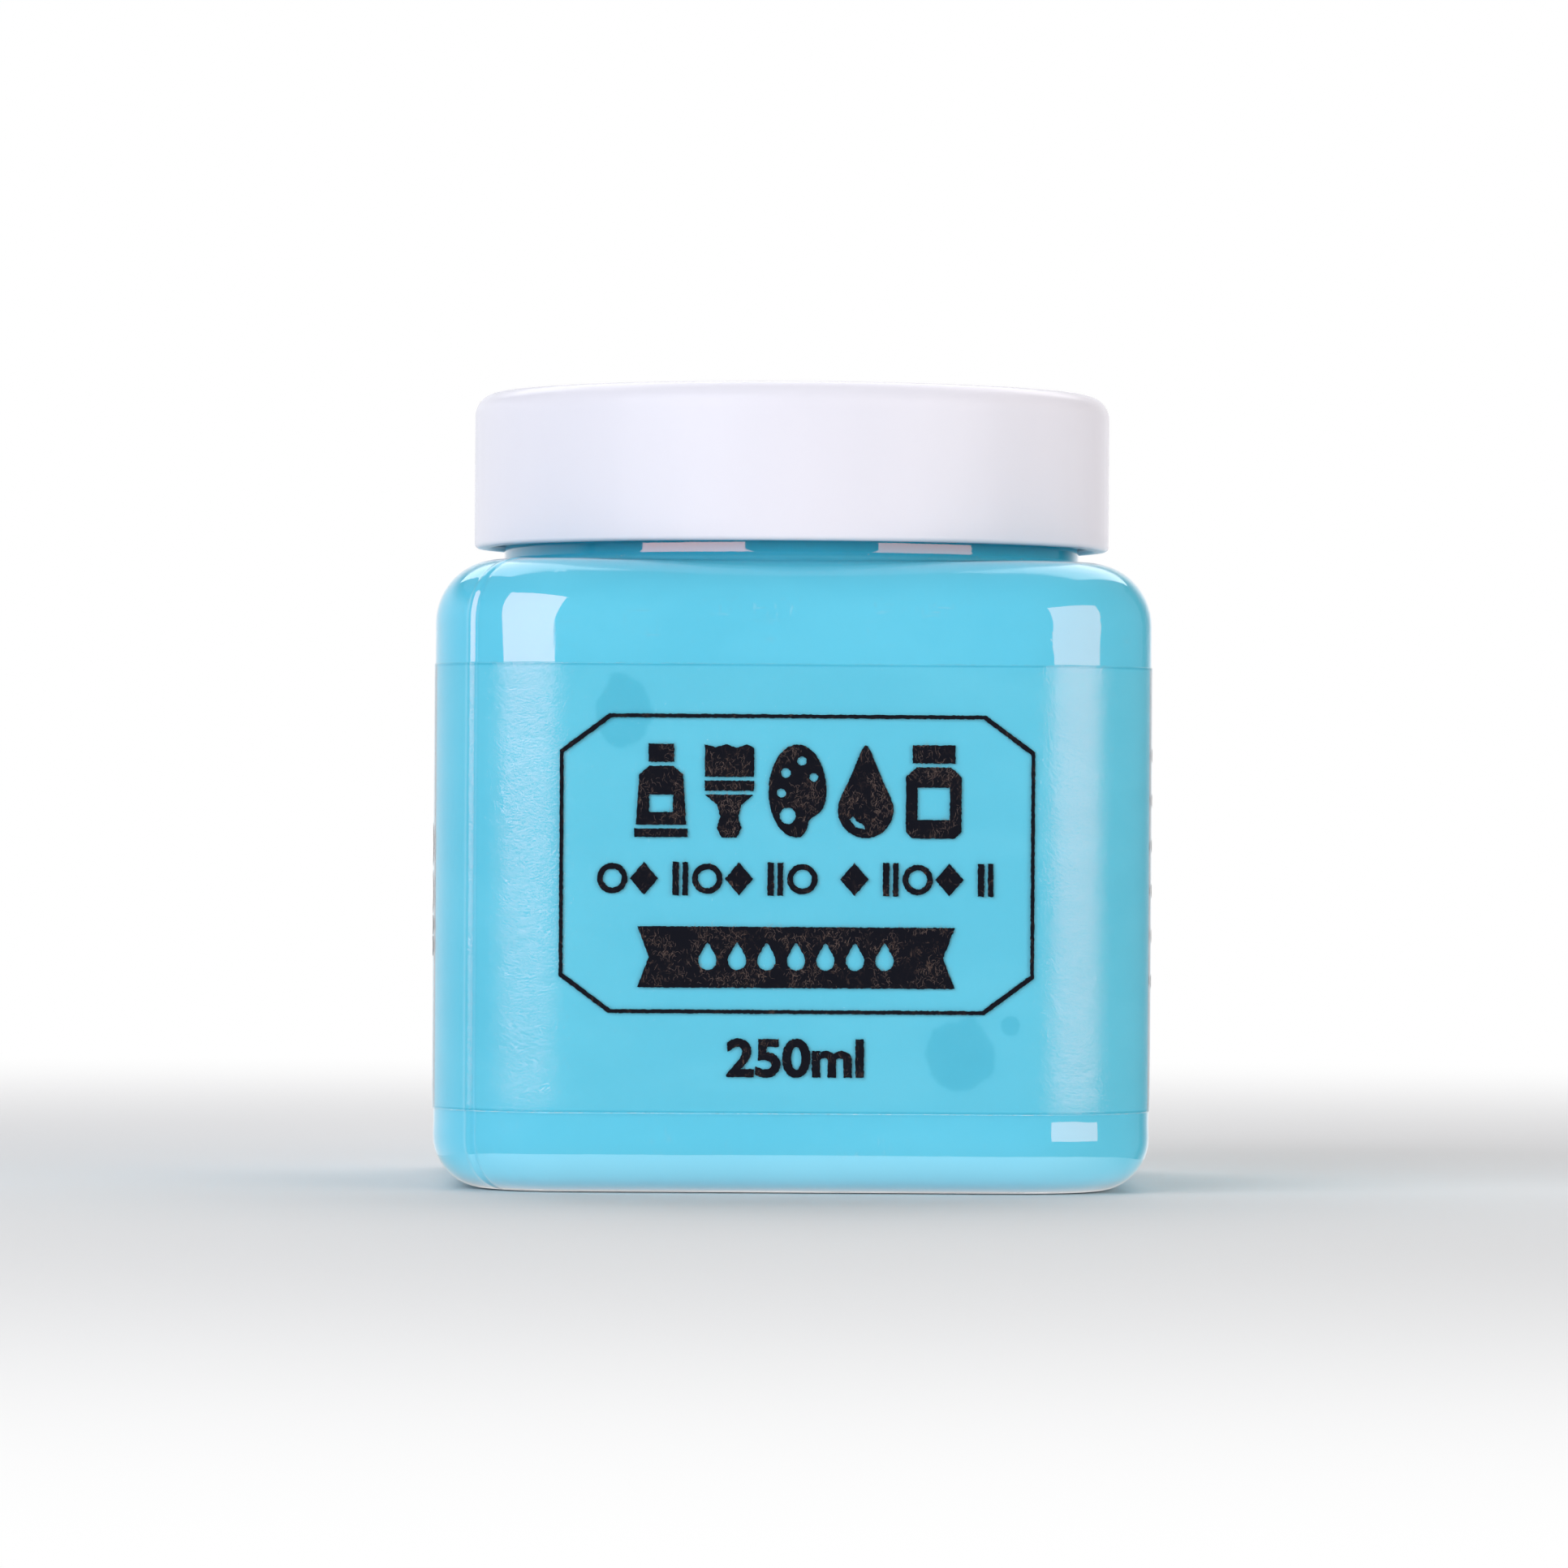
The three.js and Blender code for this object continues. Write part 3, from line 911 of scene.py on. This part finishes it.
def thickened(points, amount):
    """A closed outline grown by amount, or shrunk where amount is negative."""
    area = sum(a[0] * b[1] - b[0] * a[1] for a, b in zip(points, points[1:] + points[:1]))
    turn = math.copysign(1.0, area)
    grown = []
    for before, point, after in zip(points[-1:] + points[:-1], points, points[1:] + points[:1]):
        edges = [Vector(point) - Vector(before), Vector(after) - Vector(point)]
        outs = [Vector((e.y, -e.x)).normalized() * turn for e in edges if e.length > 0]
        if outs:
            out = sum(outs, Vector((0.0, 0.0)))
            reach = min(1.5, 2.0 / max(out.length, 0.1)) if len(outs) == 2 else 1.0
            grown.append(tuple(Vector(point) + out.normalized() * amount * reach))
    return grown


def print_volume(ink):
    """The fill volume, in a plain typeface."""
    text = bpy.data.curves.new("volume_text", "FONT")
    text.body = "250ml"
    text.align_x = "CENTER"
    text.size = 4.75
    text.resolution_u = 6
    carrier = add_object("volume_text", text)
    flat = carrier.to_curve(bpy.context.evaluated_depsgraph_get())
    outlines = []
    for spline in flat.splines:
        points = spline.bezier_points
        corners = []
        for a, b in zip(points, list(points[1:]) + [points[0]]):
            for i in range(6):
                t = i / 6
                p = ((1 - t) ** 3 * a.co + 3 * (1 - t) ** 2 * t * a.handle_right
                     + 3 * (1 - t) * t**2 * b.handle_left + t**3 * b.co)
                corners.append((PRINT_X + p.x * 1.10 * MM, 11.1 * MM + p.y * MM))
        outlines.append(corners)
    bold = 0.17 * MM
    holes = [any(inside_outline(*o[0], other) for other in outlines if other is not o) for o in outlines]
    outlines = [thickened(o, -bold if hole else bold) for o, hole in zip(outlines, holes)]
    carrier.to_curve_clear()
    bpy.data.objects.remove(carrier)
    return print_piece("print_volume", outlines, ink, 15, 30)


def print_sides(ink):
    """Plain rows of bars on the right side face, and plain discs and bars on the left one."""
    outlines = []
    add = outlines.append
    edge = 41.0 * MM
    for row in range(6):
        z = (41.2 - 4.27 * row) * MM
        add(disc_outline(edge + 0.3 * MM, z, 0.6 * MM))
        end = edge + (34 - 3.5 * (row % 3)) * MM
        add(box_outline(edge + 2.2 * MM, z - 0.4 * MM, end, z + 0.4 * MM))
    for z in (32.4 * MM, 27.9 * MM):
        add(disc_outline(-edge - 1.5 * MM, z, 2.1 * MM, 40))
        add(box_outline(-edge - 33 * MM, z + 0.5 * MM, -edge - 6 * MM, z + 1.4 * MM))
        add(box_outline(-edge - 28 * MM, z - 1.4 * MM, -edge - 6 * MM, z - 0.5 * MM))
    for z in (24.8 * MM, 22.8 * MM):
        add(disc_outline(-edge - 0.1 * MM, z, 0.9 * MM))
        add(box_outline(-edge - 30 * MM, z - 0.5 * MM, -edge - 2.4 * MM, z + 0.5 * MM))
    return print_piece("print_sides", outlines, ink, 16, 200)


def inside_outline(x, z, outline):
    """Whether a point lies inside a closed outline."""
    hit = False
    for (x0, z0), (x1, z1) in zip(outline, outline[1:] + outline[:1]):
        if (z0 > z) != (z1 > z) and x < x0 + (z - z0) * (x1 - x0) / (z1 - z0):
            hit = not hit
    return hit


def ink_fibres(material, seed=21):
    """Fine curly fibres caught in the thick print, denser in some patches than in others."""
    rng = random.Random(seed)
    vertices = []
    faces = []
    radius = 0.007 * MM
    for outlines, amount in PRINTED:
        xs = [p[0] for o in outlines for p in o]
        zs = [p[1] for o in outlines for p in o]
        made = 0
        for _ in range(amount * 30):
            if made >= amount:
                break
            x, z = rng.uniform(min(xs), max(xs)), rng.uniform(min(zs), max(zs))
            if sum(inside_outline(x, z, o) for o in outlines) % 2 == 0:
                continue
            if noise.noise(Vector((x, z, 0.3)) * 420) < rng.uniform(-0.25, 0.35):
                continue
            made += 1
            heading = rng.gauss(pi / 2, 0.7)
            bend = rng.uniform(-3, 3)
            steps = rng.randint(4, 9)
            length = rng.uniform(0.05, 0.09) * MM
            start = len(vertices)
            for i in range(steps):
                place, normal = film_point(x, FILM_HALF + 0.03 * MM)
                level = cos(heading)
                along = Vector((level * -normal.y, level * normal.x, sin(heading)))
                out = Vector((normal.x, normal.y, 0))
                side = along.cross(out)
                thin = radius * (0.35 if i in (0, steps - 1) else 1.0)
                middle = Vector((place.x, place.y, z))
                corners = [side * cos(a) + out * sin(a) for a in (0.5, 2.6, 4.7)]
                vertices.extend(middle + corner * thin for corner in corners)
                x += cos(heading) * length
                z += sin(heading) * length
                heading += bend * 0.085 + rng.uniform(-0.35, 0.35)
            for i in range(steps - 1):
                a = start + i * 3
                faces.extend((a + k, a + (k + 1) % 3, a + 3 + (k + 1) % 3, a + 3 + k) for k in range(3))
            faces.append((start + 2, start + 1, start))
            last = start + (steps - 1) * 3
            faces.append((last, last + 1, last + 2))
    return mesh_object("ink_fibres", vertices, faces, [material])


# ==== stage, light and camera
EYE_HEIGHT = 35.1 * MM
CAMERA_DISTANCE = 808 * MM
CAMERA_AZIMUTH = 0.74
CAMERA_ROLL = 0.35
AIM = Vector((-0.6 * MM, 0.0, 38.4 * MM))
LENS_MM = 190.8
WALL_DISTANCE = 1.6
FLOOR_RADIUS = 4.4
DOME_RADIUS = 4.5
SKY = (0.95, 0.98, 1.0, 1.0)
SOLID_SHINE = (1.1, 1.1, 1.12)


def stage_object(name, mesh_maker, material, *unseen_by):
    """An object of the stage. unseen_by names the kinds of ray that pass it by."""
    mesh = bpy.data.meshes.new(name)
    shape = bmesh.new()
    mesh_maker(shape)
    shape.to_mesh(mesh)
    shape.free()
    mesh.materials.append(material)
    thing = add_object(name, mesh)
    for ray in unseen_by:
        setattr(thing, "visible_" + ray, False)
    return thing


def outline_frame(inner, outer):
    """A maker for a flat frame that faces up and follows the jar's outline, with its edges so far
    outside the outline."""
    def make(shape):
        inside = [shape.verts.new(p) for p in square_ring(CORNER_RADIUS + inner, 1.0)]
        outside = [shape.verts.new(p) for p in square_ring(CORNER_RADIUS + outer, 1.0)]
        for vertex in inside + outside:
            vertex.co.z = 0.0
        for i in range(len(inside)):
            n = (i + 1) % len(inside)
            shape.faces.new((inside[i], outside[i], outside[n], inside[n]))
    return make


def white_sheet_material(name, strength, beside):
    """A white sheet, bright from above and clear from below, with another strength beside the jar."""
    n = Nodes(name)
    across = n.math("ABSOLUTE", n.axis("Y"))
    strength = n.between(across, 22 * MM, 36 * MM, beside, strength)
    lit = n.add("Emission", {"Color": (0.97, 0.99, 1.0), "Strength": strength})
    clear = n.add("BsdfTransparent")
    return n.show(n.mix(n.add("NewGeometry").outputs["Backfacing"], lit, clear))


def white_floor_material():
    """Pale floor that brightens into the backdrop away from the jar."""
    n = Nodes("floor_white")
    tone = n.mix_colour(n.noise(3.0), (0.64, 0.64, 0.65), (0.66, 0.66, 0.66))
    shader = n.principled(tone, 0.8, 0.1)
    glow = n.add("Emission")
    reach = n.add("VectorMath", {0: n.position()}, operation="LENGTH").outputs["Value"]
    return n.show(n.mix(n.between(reach, 0.13, 0.42), shader, glow))


def back_wall_material():
    """A lit white wall whose light fades out towards its ends and its top."""
    n = Nodes("back_wall_white")
    turn = n.math("ARCTAN2", n.axis("X"), n.axis("Y"))  # 0 behind the jar, +90 to the right
    right = n.between(turn, radians(14), radians(44), 1.0, 0.0)
    left = n.between(turn, radians(-88), radians(-40), 0.45, 1.0)
    end = n.between(turn, radians(-94), radians(-80))
    top = n.between(n.axis("Z"), 0.45, 0.85, 1.0, 0.0)
    strength = n.times(n.times(right, left), n.times(end, top))
    return n.show(n.add("Emission", {"Color": (0.96, 0.97, 1.0), "Strength": strength}))


def back_wall():
    """A curved wall behind the jar, from its left side round to its back right."""
    def make(shape):
        before = None
        for degrees in range(-94, 47, 4):
            a = radians(degrees)
            x, y = WALL_DISTANCE * sin(a), WALL_DISTANCE * cos(a)
            after = [shape.verts.new((x, y, z)) for z in (-1.2, 0.9)]
            if before:
                shape.faces.new((before[0], after[0], after[1], before[1]))
            before = after
    stage_object("back_wall", make, back_wall_material(), "camera", "shadow")


def floor_and_backdrop():
    """A pale floor, two white sheets round the jar that throw light back at it and that the camera does
    not see, and a white dome that only the camera sees."""
    def floor_maker(shape):
        bmesh.ops.create_circle(shape, cap_ends=True, segments=96, radius=FLOOR_RADIUS)

    def dome_maker(shape):
        bmesh.ops.create_uvsphere(shape, u_segments=48, v_segments=24, radius=DOME_RADIUS)

    floor = stage_object("floor", floor_maker, white_floor_material(), "glossy")
    floor.location.z = -0.05 * MM
    white = white_sheet_material("bounce_white", 0.92, 0.92)
    frame_maker = outline_frame(-1.5 * MM, 100 * MM)
    wide = stage_object("bounce_sheet", frame_maker, white, "camera", "shadow", "glossy")
    wide.location.z = 0.02 * MM
    white = white_sheet_material("near_white", 2.2, 0.7)
    frame_maker = outline_frame(-4.1 * MM, 5.3 * MM)
    near = stage_object("near_sheet", frame_maker, white, "camera", "shadow", "diffuse")
    near.location.z = 0.03 * MM
    n = Nodes("backdrop_white")
    unseen_by = ("diffuse", "glossy", "transmission", "shadow")
    stage_object("backdrop", dome_maker, n.show(n.add("Emission")), *unseen_by)


def area_light(name, azimuth, elevation, distance, width, height, radiance, colour, aim_height=35 * MM):
    """A rectangular light round the jar. Azimuth 0 is the camera's side and 90 is to the right."""
    a, e = radians(azimuth), radians(elevation)
    back = Vector((sin(a) * cos(e), -cos(a) * cos(e), sin(e)))
    lamp = bpy.data.lights.new(name, "AREA")
    lamp.shape = "RECTANGLE"
    lamp.size = width
    lamp.size_y = height
    lamp.color = colour
    lamp.energy = radiance * pi * width * height
    light = add_object(name, lamp)
    light.location = Vector((0, 0, aim_height)) + back * distance
    light.rotation_mode = "QUATERNION"
    light.rotation_quaternion = back.to_track_quat("Z", "Y")
    light.visible_camera = False
    return light


def receivers(name, pieces):
    """A collection that a light may be limited to."""
    group = bpy.data.collections.new(name)
    for piece in pieces:
        group.objects.link(piece)
    return group


def lights(clear, solid):
    """Two softboxes in front, a panel over the back and a fill at the right. What the clear skins
    mirror of a softbox is set apart from what it throws on the rest."""
    soft = [
        ("softbox_left", (-40, 24), (0.84, 0.86), 37 * MM, 4.2, (0.93, 0.96, 1.0), (6.2, 3.2, 2.7)),
        ("softbox_right", (54, 14), (0.76, 0.62), 8 * MM, 3.75, (1.0, 0.945, 0.875), (4.9, 2.5, 2.0)),
    ]
    skins = receivers("clear_skins", clear)
    others = receivers("solid_pieces", solid)
    for name, place, size, aim_height, radiance, colour, on_clear in soft:
        area_light(name, *place, 1.02, *size, radiance, colour, aim_height).visible_glossy = False
        shines = (("clear", 1.0, skins, on_clear), ("solid", 1.01, others, SOLID_SHINE))
        for end, distance, group, shine in shines:
            lamp = area_light(f"{name}_shine_{end}", *place, distance, *size, 1.0, shine, aim_height)
            lamp.visible_diffuse = False
            lamp.light_linking.receiver_collection = group
    area_light("back_top_panel", 180, 52, 0.9, 1.1, 0.8, 2.4, (1.0, 0.99, 0.99))
    side = area_light("side_fill_right", 108, 15, 1.3, 1.2, 0.9, 1.4, (1.0, 0.93, 0.88))
    side.visible_glossy = False
    world = bpy.data.worlds.new("studio")
    world.use_nodes = True
    sky = world.node_tree.nodes["Background"]
    sky.inputs["Color"].default_value = SKY
    sky.inputs["Strength"].default_value = 0.16
    bpy.context.scene.world = world


def camera():
    azimuth = radians(CAMERA_AZIMUTH)
    place = Vector((-CAMERA_DISTANCE * sin(azimuth), -CAMERA_DISTANCE * cos(azimuth), EYE_HEIGHT))
    data = bpy.data.cameras.new("camera")
    data.lens = LENS_MM
    data.sensor_width = 36.0
    data.clip_start = 0.02
    data.clip_end = 40.0
    eye = add_object("camera", data)
    eye.location = place
    eye.rotation_mode = "QUATERNION"
    aim = (AIM - place).to_track_quat("-Z", "Y")
    eye.rotation_quaternion = aim @ Matrix.Rotation(radians(CAMERA_ROLL), 3, "Z").to_quaternion()
    bpy.context.scene.camera = eye


# ==== assembly
def put(piece, body, node):
    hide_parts(node)
    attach(piece, body)
    return piece


ink = ink_material()
clear = [
    put(jar_shell(clear_wall_material(), wetted_wall_material()), "jar", "jar_body"),
    put(wrap_film(film_material(), film_back_material()), "jar", "label_film"),
]
solid = [
    put(paint_mass(paint_material("paint_behind_wall", 0.6, 0.12), paint_material("paint_surface", 0.3, 0.3)),
        "jar", "paint_fill"),
]
for make in (print_frame, print_pictures, print_row, print_banner, print_volume, print_sides):
    solid.append(put(make(ink), "jar", "label_film"))
solid += [
    put(ink_fibres(fibre_material()), "jar", "label_film"),
    put(cap_shell(cap_material()), "cap", "screw_cap"),
    put(foam_disc(foam_material()), "wad", "cap_liner"),
]

floor_and_backdrop()
back_wall()
lights(clear, solid)
camera()
bpy.context.scene.view_settings.view_transform = "Standard"
